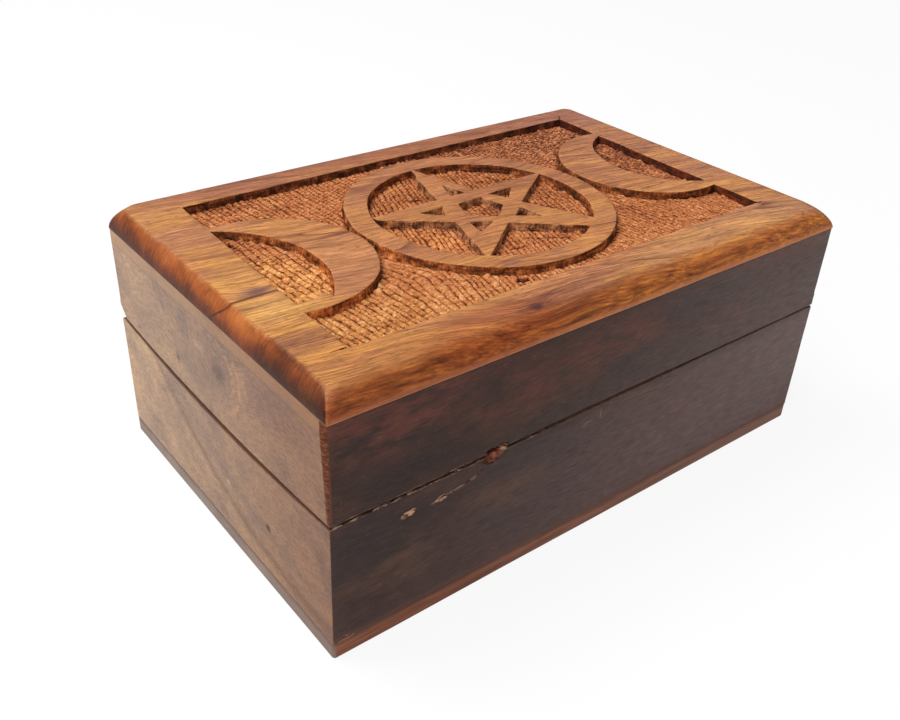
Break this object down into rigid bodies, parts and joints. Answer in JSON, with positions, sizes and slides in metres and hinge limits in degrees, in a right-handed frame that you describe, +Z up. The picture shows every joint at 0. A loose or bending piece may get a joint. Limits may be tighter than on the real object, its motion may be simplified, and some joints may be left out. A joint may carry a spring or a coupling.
{
  "type": "carved wooden box",
  "caption": "Small rectangular keepsake box of mitred wooden boards with a hinged lid, its top carved in relief with a star in a ring flanked by crescents.",
  "frame": {"origin": "centre of the resting face under the bottom board", "axes": "+X along the front to the right, +Y to the hinged back, +Z up"},
  "size_m": [0.1524, 0.098, 0.0648],
  "materials": {
    "panel_wood": "oiled, streaked golden brown",
    "front_wood": "dark, satin",
    "back_wood": "satin",
    "end_wood": "matt, dry",
    "bottom_wood": "satin",
    "hinge_brass": "stamped, slightly tarnished",
    "pin_brass": "drawn wire",
    "screw_brass": "turned"
  },
  "bodies": {
    "base": {"base_bottom_board": "bottom_wood", "base_front_board": "front_wood", "base_back_board": "back_wood", "base_left_board": "end_wood", "base_right_board": "end_wood", "left_hinge_base_leaf": "hinge_brass", "left_hinge_pin": "pin_brass", "left_hinge_base_screws": "screw_brass", "right_hinge_base_leaf": "hinge_brass", "right_hinge_pin": "pin_brass", "right_hinge_base_screws": "screw_brass"},
    "lid": {"lid_top_panel": "panel_wood", "lid_front_board": "front_wood", "lid_back_board": "back_wood", "lid_left_board": "end_wood", "lid_right_board": "end_wood", "left_hinge_lid_leaf": "hinge_brass", "left_hinge_lid_screws": "screw_brass", "right_hinge_lid_leaf": "hinge_brass", "right_hinge_lid_screws": "screw_brass"}
  },
  "joints": [
    {"name": "lid_hinge", "type": "hinge", "parent": "base", "child": "lid", "pos_m": [0, 0.047, 0.03565], "axis": [-1, 0, 0], "range_deg": [0, 100]}
  ]
}
